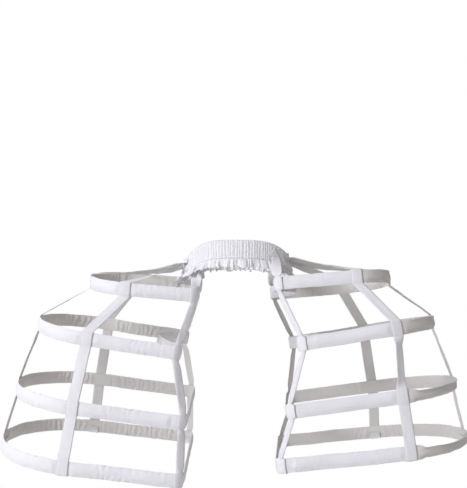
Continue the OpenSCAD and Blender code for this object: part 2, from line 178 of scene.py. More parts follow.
class Shader:
    """A material's node tree, with short calls to add and link its nodes."""

    def __init__(self, name: str) -> None:
        """Start an empty material.

        Args:
            name: Name of the material.
        """
        self.material = bpy.data.materials.new(name)
        self.material.use_nodes = True
        self.tree = self.material.node_tree
        self.tree.nodes.clear()

    def add(
        self, kind: str, values: dict[str | int, object] | None = None, **settings: object
    ) -> bpy.types.Node:
        """Add a node, set its options, and set or link its inputs.

        Args:
            kind: Type name of the node, without the ShaderNode prefix.
            values: Inputs by name or number, each a constant or a socket to link from.
            settings: Options of the node itself.

        Returns:
            The new node.
        """
        node = self.tree.nodes.new("ShaderNode" + kind)
        for key, value in settings.items():
            setattr(node, key, value)
        for key, value in (values or {}).items():
            if isinstance(value, bpy.types.NodeSocket):
                self.tree.links.new(value, node.inputs[key])
            else:
                node.inputs[key].default_value = value
        return node

    def math(self, operation: str, a: object, b: object = 0.0, c: object = 0.0) -> bpy.types.NodeSocket:
        """Add a math node.

        Args:
            operation: Name of the operation.
            a: First input, a number or a socket.
            b: Second input, a number or a socket.
            c: Third input, a number or a socket.

        Returns:
            The node's output socket.
        """
        return self.add("Math", {0: a, 1: b, 2: c}, operation=operation).outputs[0]

    def blend(self, share: object, a: object, b: object) -> bpy.types.NodeSocket:
        """Add a node that mixes two colours.

        Args:
            share: Share of the second colour, a number or a socket.
            a: First colour, a tuple or a socket.
            b: Second colour, a tuple or a socket.

        Returns:
            The mixed colour's socket.
        """
        node = self.add("Mix", data_type="RGBA")
        for name, value in (("Factor_Float", share), ("A_Color", a), ("B_Color", b)):
            socket = next(s for s in node.inputs if s.identifier == name)
            if isinstance(value, bpy.types.NodeSocket):
                self.tree.links.new(value, socket)
            else:
                socket.default_value = value
        return next(s for s in node.outputs if s.identifier == "Result_Color")

    def speckle(self, scale: float, detail: float, coords: bpy.types.NodeSocket) -> bpy.types.NodeSocket:
        """Add a noise texture.

        Args:
            scale: Noise cells per metre.
            detail: Octaves of finer noise.
            coords: Socket of the coordinates to read.

        Returns:
            The noise value's socket.
        """
        return self.add("TexNoise", {"Vector": coords, "Scale": scale, "Detail": detail}).outputs[0]

    def relief(
        self, height: bpy.types.NodeSocket, depth: float, strength: float,
        under: bpy.types.NodeSocket | None = None,
    ) -> bpy.types.NodeSocket:
        """Add a bump node.

        Args:
            height: Socket of the relief's height.
            depth: Depth of the relief.
            strength: Share of the relief that shows.
            under: Socket of the relief below this one, if there is one.

        Returns:
            The new normal's socket.
        """
        values: dict[str | int, object] = {"Height": height, "Distance": depth, "Strength": strength}
        if under is not None:
            values["Normal"] = under
        return self.add("Bump", values).outputs[0]

    def tinted(self, colour: object, shade: bpy.types.NodeSocket) -> bpy.types.NodeSocket:
        """Add a node that scales a colour by a shade, and return the colour's socket."""
        return self.add("VectorMath", {0: colour, "Scale": shade}, operation="SCALE").outputs[0]

    def finish(self, surface: bpy.types.NodeSocket) -> bpy.types.Material:
        """Link a shader to the output.

        Args:
            surface: Socket of the surface shader.

        Returns:
            The finished material.
        """
        self.add("OutputMaterial", {"Surface": surface})
        return self.material


def opaque(colour: Colour) -> tuple[float, float, float, float]:
    """Return a colour with full alpha."""
    return (*colour, 1.0)


@dataclass(frozen=True)
class ClothFinish:
    """A matt cotton cloth, with its weave, slubs and fine creases, and a greyer colour on its other side that
    is painted shade.
    """

    name: str
    slot: str
    face: Colour
    # Colour of the cloth's other side, darker than its face: painted shade for faces turned inwards or away
    # from the light.
    shaded_reverse: Colour
    weave: Weave
    pitch: float
    weave_depth: float = 0.12 * MM
    crease_depth: float = 0.5 * MM
    crease_scale: float = 90.0
    rough: float = 0.9
    sheen: float = 0.25

    SLUB_SCALE = 900.0
    SLUB_SHADE = 0.06
    CLOUD_SCALE = 14.0
    CLOUD_SHADE = 0.08
    DARKEST = 0.93
    FUZZ_DEPTH = 0.15 * MM
    ZIGZAG = 6.0 * MM
    COURSE_HEIGHT = 0.35

    def weave_height(self, s: Shader, uv: bpy.types.Node) -> bpy.types.NodeSocket:
        """Add the thread pattern in the cloth's own coordinates.

        Args:
            s: Material to add to.
            uv: Node whose outputs are the coordinates along and across the cloth, in metres.

        Returns:
            Socket of the pattern's height, about -1 to 1.
        """
        turn = 2.0 * math.pi / self.pitch
        along, across = uv.outputs[0], uv.outputs[1]
        if self.weave is Weave.PLAIN:
            warp = s.math("SINE", s.math("MULTIPLY", along, turn))
            weft = s.math("SINE", s.math("MULTIPLY", across, turn))
            return s.math("MULTIPLY", warp, weft)
        if self.weave is Weave.HERRINGBONE:
            slope = s.math("PINGPONG", across, self.ZIGZAG)
            return s.math("SINE", s.math("MULTIPLY", s.math("ADD", along, slope), turn))
        wale = s.math("ABSOLUTE", s.math("SINE", s.math("MULTIPLY", across, turn)))
        course = s.math("SINE", s.math("MULTIPLY", along, turn))
        return s.math("MULTIPLY_ADD", course, self.COURSE_HEIGHT, wale)

    def build(self) -> bpy.types.Material:
        """Make the cloth's material.

        Returns:
            The finished material.
        """
        s = Shader(self.name)
        coords = s.add("TexCoord").outputs["Object"]
        uv = s.add("SeparateXYZ", {0: s.add("UVMap", uv_map=UV_NAME).outputs[0]})
        # Share of the darker other-side colour, which paints shade on the inner and turned faces.
        inside = s.add("Attribute", attribute_name=REVERSE_SHADE).outputs["Fac"]
        slub = s.speckle(self.SLUB_SCALE, 3.0, coords)
        cloudy = s.speckle(self.CLOUD_SCALE, 2.0, coords)
        grain = s.math("MULTIPLY_ADD", slub, self.SLUB_SHADE, self.DARKEST)
        shade = s.math("MULTIPLY_ADD", cloudy, self.CLOUD_SHADE, grain)
        # Blend in the painted shade of the other side.
        tone_with_painted_shade = s.blend(inside, opaque(self.face), opaque(self.shaded_reverse))
        threads = s.relief(self.weave_height(s, uv), self.weave_depth, 0.6)
        fuzz = s.relief(slub, self.FUZZ_DEPTH, 0.6, threads)
        creases = s.relief(s.speckle(self.crease_scale, 2.0, coords), self.crease_depth, 0.7, fuzz)
        shader = s.add(
            "BsdfPrincipled",
            {
                "Base Color": s.tinted(tone_with_painted_shade, shade),
                "Roughness": self.rough,
                "Specular IOR Level": 0.2,
                "Sheen Weight": self.sheen,
                "Sheen Roughness": 0.5,
                "Normal": creases,
            },
        )
        return s.finish(shader.outputs[0])


@dataclass(frozen=True)
class SteelFinish:
    """Brushed flat steel with faint streaks and a little tarnish."""

    name: str
    colour: Colour
    rough: float

    STREAK_SCALE = 1200.0
    STREAK_STRETCH = (0.05, 0.05, 1.0)
    STREAK_DEPTH = 0.05 * MM
    STREAK_ROUGH = 0.2
    TARNISH_SCALE = 60.0
    TARNISH_SHADE = 0.25
    DARKEST = 0.8

    def build(self) -> bpy.types.Material:
        """Make the steel's material.

        Returns:
            The finished material.
        """
        s = Shader(self.name)
        coords = s.add("TexCoord").outputs["Object"]
        brushed = s.add("Mapping", {"Vector": coords, "Scale": self.STREAK_STRETCH}).outputs[0]
        streak = s.speckle(self.STREAK_SCALE, 4.0, brushed)
        tarnish = s.speckle(self.TARNISH_SCALE, 3.0, coords)
        shade = s.math("MULTIPLY_ADD", tarnish, self.TARNISH_SHADE, self.DARKEST)
        shader = s.add(
            "BsdfPrincipled",
            {
                "Base Color": s.tinted(self.colour, shade),
                "Metallic": 1.0,
                "Roughness": s.math("MULTIPLY_ADD", streak, self.STREAK_ROUGH, self.rough),
                "Normal": s.relief(streak, self.STREAK_DEPTH, 0.4),
            },
        )
        return s.finish(shader.outputs[0])


# The second colour of each cloth is its other side, made darker than the face as painted shade; the elastic
# and the thread keep one colour on both sides.
CASING_CLOTH = ClothFinish(
    "casing_cotton", "casing_cloth", (0.84, 0.835, 0.875), (0.65, 0.63, 0.615), Weave.PLAIN, 0.7 * MM,
    crease_depth=1.0 * MM,
)
TAPE_CLOTH = ClothFinish(
    "herringbone_tape", "tape", (0.85, 0.845, 0.88), (0.68, 0.665, 0.655), Weave.HERRINGBONE, 1.4 * MM,
    weave_depth=0.2 * MM,
)
BAND_CLOTH = ClothFinish(
    "band_cotton", "band_cloth", (0.84, 0.835, 0.87), (0.72, 0.71, 0.71), Weave.PLAIN, 0.6 * MM,
    crease_depth=0.35 * MM, crease_scale=140.0,
)
ELASTIC_CLOTH = ClothFinish(
    "knitted_elastic", "elastic", (0.80, 0.80, 0.82), (0.80, 0.80, 0.82), Weave.KNIT, 1.2 * MM,
    weave_depth=0.35 * MM,
)
THREAD_CLOTH = ClothFinish(
    "sewing_thread", "tape", (0.80, 0.795, 0.83), (0.80, 0.795, 0.83), Weave.PLAIN, 0.4 * MM,
)
BONE_STEEL = SteelFinish("flat_bone_steel", (0.70, 0.71, 0.73), 0.32)
JOINER_STEEL = SteelFinish("joiner_steel", (0.55, 0.56, 0.58), 0.4)


@dataclass(frozen=True)
class WaistSize:
    """Sizes of the waistband, its elastic and its frill."""

    half_w: float = 118 * MM
    half_d: float = 87 * MM
    rise: float = 41 * MM
    left_dip: float = 46 * MM
    right_dip: float = 31 * MM
    elastic_h: float = 34 * MM
    elastic_t: float = 1.2 * MM
    elastic_top: float = 1.1 * MM
    band_h: float = 40.4 * MM
    header_top: float = 35.4 * MM
    band_face: float = 1.7 * MM
    rib_depth: float = 1.3 * MM
    ribs: int = 116
    frill_h: float = 18 * MM
    frill_flare: float = 5 * MM
    frill_wave: float = 4.2 * MM
    folds: int = 46

    def out(self, a: float) -> Vector:
        """Return the level direction out of the waist at an angle."""
        return Vector((math.cos(a) / self.half_w, math.sin(a) / self.half_d, 0.0)).normalized()

    def along(self, a: float) -> Vector:
        """Return the level direction round the waist at an angle."""
        return Vector((-self.half_w * math.sin(a), self.half_d * math.cos(a), 0.0)).normalized()

    def bend(self, a: float) -> float:
        """Return the radius of the waist's curve at an angle."""
        sweep = (self.half_w * math.sin(a)) ** 2 + (self.half_d * math.cos(a)) ** 2
        return sweep**1.5 / (self.half_w * self.half_d)

    def point(self, a: float, out: float, down: float) -> Vector:
        """Place a point on the waist.

        Args:
            a: Angle round the waist, from the right hip towards the back.
            out: Distance out from the middle of the elastic.
            down: Distance below the band's top edge.

        Returns:
            The point in the row frame.
        """
        dip = self.right_dip if math.cos(a) > 0 else self.left_dip
        level = self.rise - dip * math.cos(a) ** 4 - down
        return Vector((self.half_w * math.cos(a), self.half_d * math.sin(a), level)) + out * self.out(a)

    def girth(self) -> float:
        """Return the length once round the elastic."""
        steps = 360
        spots = [self.point(2.0 * math.pi * n / steps, 0.0, 0.0) for n in range(steps)]
        return sum((spots[n] - spots[n - 1]).length for n in range(steps))


@dataclass(frozen=True)
class CasingSize:
    """Section of a hoop's cloth casing."""

    height: float = 29 * MM
    full_t: float = 3.4 * MM
    edge_t: float = 1.2 * MM
    shoulder: float = 6.4 * MM
    corner_r: float = 20 * MM

    def half_thickness(self, z: float, puff: float = 0.0) -> float:
        """Give the casing's half thickness at a height.

        Args:
            z: Height from the middle of the casing.
            puff: How far the cloth stands off the bone.

        Returns:
            Half the thickness there, 0 at the folded edges.
        """
        reach = abs(z) / (self.height / 2)
        swell = math.exp(-((z / (1.35 * self.shoulder)) ** 4))
        body = self.edge_t / 2 + (self.full_t - self.edge_t) / 2 * swell + puff * (1.0 - reach * reach)
        return body * math.sqrt(max(0.0, 1.0 - reach**8))


@dataclass(frozen=True)
class TapeSize:
    """Sizes of the hanging tapes, and where they cross the hoops."""

    width: float = 24 * MM
    thickness: float = 1.1 * MM
    lap: float = 10 * MM
    outer_top: float = 2 * MM
    hem: float = 14 * MM
    ease: float = 1.4 * MM
    roof_sag: float = 4 * MM
    roof_twist: float = math.radians(40)
    gap: float = 0.3 * MM
    cad_t: float = 1.4 * MM
    inner_angle: float = math.radians(44)
    outer_angle: float = math.radians(21)
    corner_turn: float = math.radians(38)
    outer_set: float = 8 * MM
    pinch: float = 1.5 * MM

    def waist_angle(self, tape: TapeName) -> float:
        """Return the angle round the waist at which a tape is sewn."""
        return (-self.inner_angle, -self.outer_angle, 0.0, self.outer_angle, self.inner_angle)[tape.value]


@dataclass(frozen=True)
class HoopSize:
    """Plan, height and slopes of one hoop."""

    inner: float
    reach: float
    half: float
    drop: float
    roll: float
    pitch: float
    bow: float
    slant: float
    front_shift: float

    @classmethod
    def of(
        cls, inner: float, reach: float, depth: float, drop: float, roll: float, pitch: float,
        bow: float = 0.0, slant: float = 0.0, front_shift: float = 0.0,
    ) -> HoopSize:
        """Give a hoop from millimetres and degrees.

        Args:
            inner: Distance of the inner corners from the centre line.
            reach: Distance of the outermost point from the centre line.
            depth: Depth, front to back.
            drop: Height of the inner side, below the origin.
            roll: Rise towards the outer end.
            pitch: Rise towards the back.
            bow: Bow of the inner side round the hip.
            slant: How much further out the back inner corner sits.
            front_shift: Further distance of the outer front tape past the end of the leg.

        Returns:
            The hoop in metres and radians.
        """
        return cls(
            inner * MM, reach * MM, depth / 2 * MM, drop * MM, math.radians(roll), math.radians(pitch),
            bow * MM, slant * MM, front_shift * MM,
        )


WAIST = WaistSize()
CASING = CasingSize()
TAPE = TapeSize()
HOOPS = {
    Side.LEFT: {
        HoopName.TOP: HoopSize.of(82, 327, 192, 64, 5.0, 8.0, bow=52),
        HoopName.SECOND: HoopSize.of(116, 444, 278, 187, 9.0, 4.5, bow=60),
        HoopName.THIRD: HoopSize.of(103, 488, 320, 324, 7.5, 4.5),
        HoopName.BOTTOM: HoopSize.of(108, 517, 348, 437, 6.5, 4.5),
    },
    Side.RIGHT: {
        HoopName.TOP: HoopSize.of(82, 346, 192, 64, 5.0, -6.5, bow=52, front_shift=2),
        HoopName.SECOND: HoopSize.of(129, 444, 278, 187, 9.0, -2.5, bow=60, front_shift=25),
        HoopName.THIRD: HoopSize.of(103, 488, 320, 324, 7.5, -2.5, slant=22, front_shift=6),
        HoopName.BOTTOM: HoopSize.of(82, 509, 348, 430, 5.5, -2.5, slant=22, front_shift=10),
    },
}


@dataclass(frozen=True)
class Spot:
    """A place on a hoop's line: the point, and the level directions along it and out of the hoop."""

    point: Vector
    along: Vector
    out: Vector


@dataclass(frozen=True)
class Stretch:
    """One straight or round stretch of a hoop's line. A round one has a radius above 0."""

    start: Vector
    heading: Vector
    length: float
    radius: float = 0.0
    from_angle: float = 0.0
    turn: float = 1.0

    def spot(self, s: float) -> Spot:
        """Place a point on the stretch.

        Args:
            s: Distance from the start of the stretch.

        Returns:
            The place there.
        """
        if self.radius <= 0.0:
            out = Vector((self.heading.y, -self.heading.x, 0.0))
            return Spot(self.start + s * self.heading, self.heading, out)
        a = self.from_angle + self.turn * s / self.radius
        away = Vector((math.cos(a), math.sin(a), 0.0))
        along = self.turn * Vector((-away.y, away.x, 0.0))
        return Spot(self.start + self.radius * away, along, self.turn * away)


class HoopPlan:
    """The closed line of a hoop, drawn flat for the right-hand cage."""

    CORNER_HOLD = 9 * MM
    HELD_TO = 0.52 * TAPE.width
    FREE_FROM = 0.95 * TAPE.width

    def __init__(self, size: HoopSize) -> None:
        """Work out the stretches of the line.

        Args:
            size: The hoop's sizes.
        """
        self.size = size
        half, r = size.half, CASING.corner_r
        end_x, corner_y = size.reach - half, half - r
        front_x, back_x = size.inner + r, size.inner + r + size.slant
        bow_r = (corner_y**2 + size.bow**2) / (2 * size.bow) - r if size.bow > 0 else 0.0
        beta = math.asin(corner_y / (bow_r + r)) if size.bow > 0 else 0.0
        gamma = math.atan2(size.slant, 2 * corner_y)
        self.front_at = math.pi / 2 - (TAPE.outer_set + size.front_shift) / half
        self.back_at = math.pi / 2 - TAPE.outer_set / half
        ahead, back = Vector((1, 0, 0)), Vector((-1, 0, 0))
        if size.bow > 0:
            hub = Vector((size.inner + size.bow - bow_r, 0, 0))
            inner = Stretch(hub, back, 2 * beta * bow_r, bow_r, beta, -1.0)
        else:
            heading = Vector((-math.sin(gamma), -math.cos(gamma), 0))
            side = Vector((back_x, corner_y, 0)) + r * Vector((-math.cos(gamma), math.sin(gamma), 0))
            inner = Stretch(side, heading, math.hypot(size.slant, 2 * corner_y))
        turns = (math.pi / 2 + beta - gamma, math.pi / 2 + beta + gamma)
        self.stretches = [
            Stretch(Vector((front_x, -half, 0)), ahead, end_x - front_x),
            Stretch(Vector((end_x, 0, 0)), ahead, math.pi * half, half, -math.pi / 2),
            Stretch(Vector((end_x, half, 0)), back, end_x - back_x),
            Stretch(Vector((back_x, corner_y, 0)), back, turns[0] * r, r, math.pi / 2),
            inner,
            Stretch(Vector((front_x, -corner_y, 0)), ahead, turns[1] * r, r, math.pi - beta - gamma),
        ]
        self.length = sum(stretch.length for stretch in self.stretches)
        self.crossings = [self.crossing(tape) for tape in TapeName]

    def spot(self, s: float) -> Spot:
        """Place a point on the line.

        Args:
            s: Distance from the start of the front leg.

        Returns:
            The place there.
        """
        s %= self.length
        for stretch in self.stretches:
            if s <= stretch.length:
                return stretch.spot(s)
            s -= stretch.length
        return self.stretches[-1].spot(self.stretches[-1].length)

    def crossing(self, tape: TapeName) -> float:
        """Find where a tape crosses the line.

        Args:
            tape: The tape.

        Returns:
            Distance from the start of the front leg.
        """
        leg, end, back_leg = (stretch.length for stretch in self.stretches[:3])
        if tape is TapeName.INNER_FRONT:
            return self.length - TAPE.corner_turn * CASING.corner_r
        if tape is TapeName.INNER_BACK:
            return leg + end + back_leg + TAPE.corner_turn * CASING.corner_r
        turns = {TapeName.OUTER_FRONT: -self.front_at, TapeName.SIDE: 0.0, TapeName.OUTER_BACK: self.back_at}
        return leg + end / 2 + turns[tape] * self.size.half

    def bend(self, tape: TapeName) -> float:
        """Return the radius of the line where a tape crosses it."""
        return CASING.corner_r if tape.is_inner else self.size.half

    def freedom(self, s: float) -> float:
        """Find how free the casing is of the tapes sewn to it.

        Args:
            s: Distance from the start of the front leg.

        Returns:
            0 under a tape, rising to 1 away from it, and more slowly beside the inner corners.
        """
        gaps = [abs(s % self.length - at) for at in self.crossings]
        near = [
            min(gap, self.length - gap) - (self.CORNER_HOLD if tape.is_inner else 0.0)
            for gap, tape in zip(gaps, TapeName)
        ]
        return smooth(self.HELD_TO, self.FREE_FROM, min(near))


@dataclass(frozen=True)
class Hang:
    """How one cage hangs: its side, how far it sinks, and how its inner tapes are sewn on.

    The inner tapes start below the band's top edge by the tape top, and pull as narrow as the neck between
    the hoops. The lean is how far the sewn end of the inner front tape leans to the hip, or to the front if
    it is below 0. The tuck is how far behind the band's face the inner tapes are sewn, under the frill.
    """

    side: Side
    sink: float
    tape_top: float
    neck: float
    lean: float
    tuck: float

    def direction(self, hoop: HoopSize, v: Vector) -> Vector:
        """Turn a direction of a flat hoop into the row frame.

        Args:
            hoop: The hoop.
            v: Direction in the flat plan.

        Returns:
            The direction as the hoop hangs.
        """
        turned = Matrix.Rotation(hoop.pitch, 3, "X") @ (Matrix.Rotation(-hoop.roll, 3, "Y") @ v)
        return Vector((self.side.value * turned.x, turned.y, turned.z))

    def point(self, hoop: HoopSize, p: Vector) -> Vector:
        """Move a point of a flat hoop into the row frame.

        Args:
            hoop: The hoop.
            p: Point in the flat plan, with its height.

        Returns:
            The point as the hoop hangs.
        """
        level = Vector((self.side.value * hoop.inner, 0.0, -hoop.drop - self.sink))
        return level + self.direction(hoop, p - Vector((hoop.inner, 0.0, 0.0)))


HANGS = {
    Side.LEFT: Hang(Side.LEFT, sink=2 * MM, tape_top=40 * MM, neck=20 * MM, lean=0.0, tuck=4.6 * MM),
    Side.RIGHT: Hang(Side.RIGHT, sink=0.0, tape_top=17 * MM, neck=15 * MM, lean=-13 * MM, tuck=0.0),
}


@dataclass
class ClothPiece:
    """A piece of cloth drawn on a grid, whose columns run along it and whose rows run across it."""

    name: str
    finish: ClothFinish
    node: str
    columns: int
    rows: int
    length: float
    width: float
    thickness: float = 0.0

    def place(self, u: float, v: float) -> Vector:
        """Place a point of the cloth.

        Args:
            u: Share of the way along it.
            v: Share of the way across it.

        Returns:
            The point in the row frame.
        """
        raise NotImplementedError

    def painted_shade_at(self, u: float, v: float) -> float:
        """Return 1 where the cloth shows its other side, whose darker colour is painted shade, and 0
        elsewhere.
        """
        return 0.0

    def build(self) -> bpy.types.Object:
        """Make the piece's mesh and its object.

        Returns:
            The new object, in place.
        """
        bm = bmesh.new()
        bmesh.ops.create_grid(bm, x_segments=self.columns, y_segments=self.rows, size=0.5)
        uv_layer = bm.loops.layers.uv.new(UV_NAME)
        shaded_reverse = bm.verts.layers.float.new(REVERSE_SHADE)
        for face in bm.faces:
            for loop in face.loops:
                spot = loop.vert.co
                loop[uv_layer].uv = ((spot.x + 0.5) * self.length, (spot.y + 0.5) * self.width)
            face.smooth = True
        for vert in bm.verts:
            u, v = vert.co.x + 0.5, vert.co.y + 0.5
            # Keep the share of painted shade at each corner.
            vert[shaded_reverse] = self.painted_shade_at(u, v)
            vert.co = self.place(u, v)
        bmesh.ops.remove_doubles(bm, verts=bm.verts[:], dist=0.001 * MM)
        if self.thickness <= 0.0:
            bmesh.ops.holes_fill(bm, edges=[edge for edge in bm.edges if edge.is_boundary], sides=0)
        bmesh.ops.recalc_face_normals(bm, faces=bm.faces[:])
        piece = settle(self.name, bm)
        if self.thickness > 0.0:
            shell = piece.modifiers.new("cloth_thickness", "SOLIDIFY")
            shell.thickness = self.thickness
            shell.offset = 0.0
        return piece

    def dress(self, material: bpy.types.Material) -> bpy.types.Object:
        """Build the piece, give it its material and put it on the frame.

        Args:
            material: The cloth's material.

        Returns:
            The dressed object.
        """
        piece = self.build()
        piece.data.materials.append(material)
        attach(piece, BODY)
        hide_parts(self.node)
        LOG.info("%s: %d faces", self.name, len(piece.data.polygons))
        return piece


class HoopCasing(ClothPiece):
    """The cloth tube round one hoop's bone, with its drag lines and puckers."""

    STEP = 2.2 * MM
    ROWS = 28
    HOOP_SEED = 17.3
    SIDE_SEED = 61.7
    PUCKER = 2.6 * MM
    FOLD_PITCH = 12.5 * MM
    FOLD_MEAN = 0.64
    FOLD_SLOPE = 55.0
    CALM = {Side.LEFT: -0.6, Side.RIGHT: -0.2}
    CALM_EASE = 0.6
    FRONT_SHARE = 0.45
    INNER_EXTRA = 0.55
    EDGE_WAVE = 1.2 * MM
    DRAG = 1.0 * MM
    PUFF = 2.3 * MM
    INNER_PUFF = 0.4
    RISE = 1.2 * MM
    BONE_HOLD = 1.1 * MM
    TURNED_SIDE = Side.RIGHT
    TURNED_BETWEEN = (TapeName.OUTER_FRONT, TapeName.SIDE)
    FOLDED_FROM = (0.7 * TAPE.width, 1.4 * TAPE.width)
    # Distances past the tapes over which a turned stretch takes the darker other-side colour, painted shade.
    PAINTED_SHADE_FROM = (0.25 * TAPE.width, 0.45 * TAPE.width)
    FOLDED = {HoopName.TOP: 0.35, HoopName.SECOND: 0.35, HoopName.THIRD: 1.0, HoopName.BOTTOM: 1.0}
    UPPER_FOLD = math.radians(70)
    LOWER_FOLD = math.radians(38)
    CRUMPLE = 3.8 * MM

    def __init__(self, hang: Hang, hoop: HoopName, size: HoopSize) -> None:
        """Set out the casing.

        Args:
            hang: How the cage hangs.
            hoop: The hoop's name.
            size: The hoop's sizes.
        """
        self.hang, self.hoop, self.size = hang, hoop, size
        self.plan = HoopPlan(size)
        self.seed = self.HOOP_SEED * hoop.value + self.SIDE_SEED * (hang.side.value + 1)
        name = f"{hang.side.word}_{hoop.word}_hoop_casing"
        columns = int(self.plan.length / self.STEP)
        width = 2 * CASING.height
        super().__init__(f"{name}.cloth", CASING_CLOTH, name, columns, self.ROWS, self.plan.length, width)

    def turned(self, s: float, start: float, end: float) -> float:
        """Find how far the casing has turned over between two tapes.

        Args:
            s: Distance along the hoop.
            start: Distance from the middle of a tape at which the turn starts.
            end: Distance at which it is full.

        Returns:
            0 where the casing lies as sewn, rising to 1 where it has turned over.
        """
        if self.hang.side is not self.TURNED_SIDE:
            return 0.0
        first, last = (self.plan.crossing(tape) for tape in self.TURNED_BETWEEN)
        return window(s, first + start, first + end, last - end, last - start)

    def gathers(self, s: float, z: float) -> float:
        """Find how the cloth is drawn into uneven folds, with calm patches between them.

        Args:
            s: Distance along the hoop.
            z: Height from the middle of the casing.

        Returns:
            The height of the folds, about -0.9 to 0.5, and 0 in a calm patch.
        """
        calm = self.CALM[self.hang.side]
        patch = smooth(calm, calm + self.CALM_EASE, ripple(12.0 * s, self.seed, 4.0))
        patch *= clamp(0.8 + 1.1 * ripple(52.0 * s, self.seed, 29.0 + 30.0 * z), 0.15, 1.4)
        slope = self.FOLD_SLOPE * ripple(8.0 * s, self.seed, 11.0)
        bent = 0.9 * ripple(38.0 * s, self.seed, 8.0) + 0.45 * ripple(50.0 * s, self.seed, 95.0 * z)
        return patch * (abs(math.sin(math.pi * (s / self.FOLD_PITCH + bent + slope * z))) - self.FOLD_MEAN)

    def surface(self, s: float, z: float, face: float, lift: float = 0.0) -> Vector:
        """Place a point on the casing's cloth.

        Args:
            s: Distance along the hoop.
            z: Height from the middle of the casing.
            face: 1 on the outside of the hoop and -1 on the inside.
            lift: Extra distance off the cloth.

        Returns:
            The point in the row frame.
        """
        spot = self.plan.spot(s)
        s %= self.plan.length
        free = self.plan.freedom(s)
        reach = min(1.0, abs(z) / (CASING.height / 2))
        edge = reach**1.5
        back = mix(self.FRONT_SHARE, 1.0, smooth(-0.02, 0.08, spot.point.y))
        outer = face > 0
        deep = back * mix(0.25, 1.0, edge) if outer else (back + self.INNER_EXTRA) * mix(0.75, 1.0, edge)
        folds = self.gathers(s, z)
        # The folds' depth ends at the two edges, so that the outside and the inside meet there.
        pucker = self.PUCKER * folds * deep * math.sqrt(1.0 - reach**8)
        wave = self.EDGE_WAVE * folds * back * edge
        drag = self.DRAG * ripple(24.0 * s, self.seed + 45.0 * z, 15.0)
        stands = 1.0 if outer else self.INNER_PUFF
        puff = self.PUFF * stands * (0.75 + 0.5 * ripple(9.0 * s, self.seed, 27.0))
        flick = 0.45 * edge * ripple(70.0 * s, self.seed, 50.0 * z)
        rise = self.RISE * (ripple(16.0 * s, self.seed, 21.0) + flick)
        thick = CASING.half_thickness(z, free * puff) + lift
        away = face * (thick + free * pucker) + free * (drag + wave)
        # A turned casing crumples, and its flaps fold over: the upper one out, the lower one in.
        folded = self.FOLDED[self.hoop] * self.turned(s, *self.FOLDED_FROM)
        crumple = folded * self.CRUMPLE * ripple(26.0 * s + 40.0 * z, self.seed, 75.0 * z)
        away += mix(face * abs(crumple), crumple, smooth(CASING.shoulder, CASING.height / 2, abs(z)))
        # Where a fold would cut into the bone, the cloth rests on it.
        if abs(z) < CASING.shoulder:
            away = face * max(face * away, self.BONE_HOLD)
        flap = max(0.0, abs(z) - CASING.shoulder)
        tilt = folded * (self.UPPER_FOLD if z > 0 else self.LOWER_FOLD)
        away += math.copysign(flap * math.sin(tilt), z)
        height = math.copysign(abs(z) - flap * (1.0 - math.cos(tilt)), z) + free * rise
        return self.hang.point(self.size, spot.point + away * spot.out + height * UP)

    def place(self, u: float, v: float) -> Vector:
        """Return the casing's point: rows run up the outside and down the inside."""
        face = 1.0 if v < 0.5 else -1.0
        share = 1.0 - abs(2.0 * v - 1.0)
        return self.surface(u * self.plan.length, -CASING.height / 2 * math.cos(math.pi * share), face)

    def painted_shade_at(self, u: float, v: float) -> float:
        """Return 1 on the inside of the hoop, and where the casing has turned over: there the darker
        other-side colour is painted shade.
        """
        inside = window(v, 0.49, 0.53, 0.97, 1.0)
        return max(inside, self.turned(u * self.plan.length, *self.PAINTED_SHADE_FROM))


@dataclass(frozen=True)
class Station:
    """A place on a tape: its middle, its width direction and half width, and the bend of what it lies on."""

    middle: Vector
    across: Vector
    half: float
    out: Vector
    bend: float

    def toward(self, other: Station, share: float) -> Station:
        """Give a station between this one and another.

        Args:
            other: The station at the far end.
            share: Share of the way to it.

        Returns:
            The station between.
        """
        return Station(
            self.middle.lerp(other.middle, share),
            self.across.lerp(other.across, share).normalized(),
            mix(self.half, other.half, smooth(0.0, 1.0, share)),
            self.out.lerp(other.out, share).normalized(),
            mix(self.bend, other.bend, share),
        )


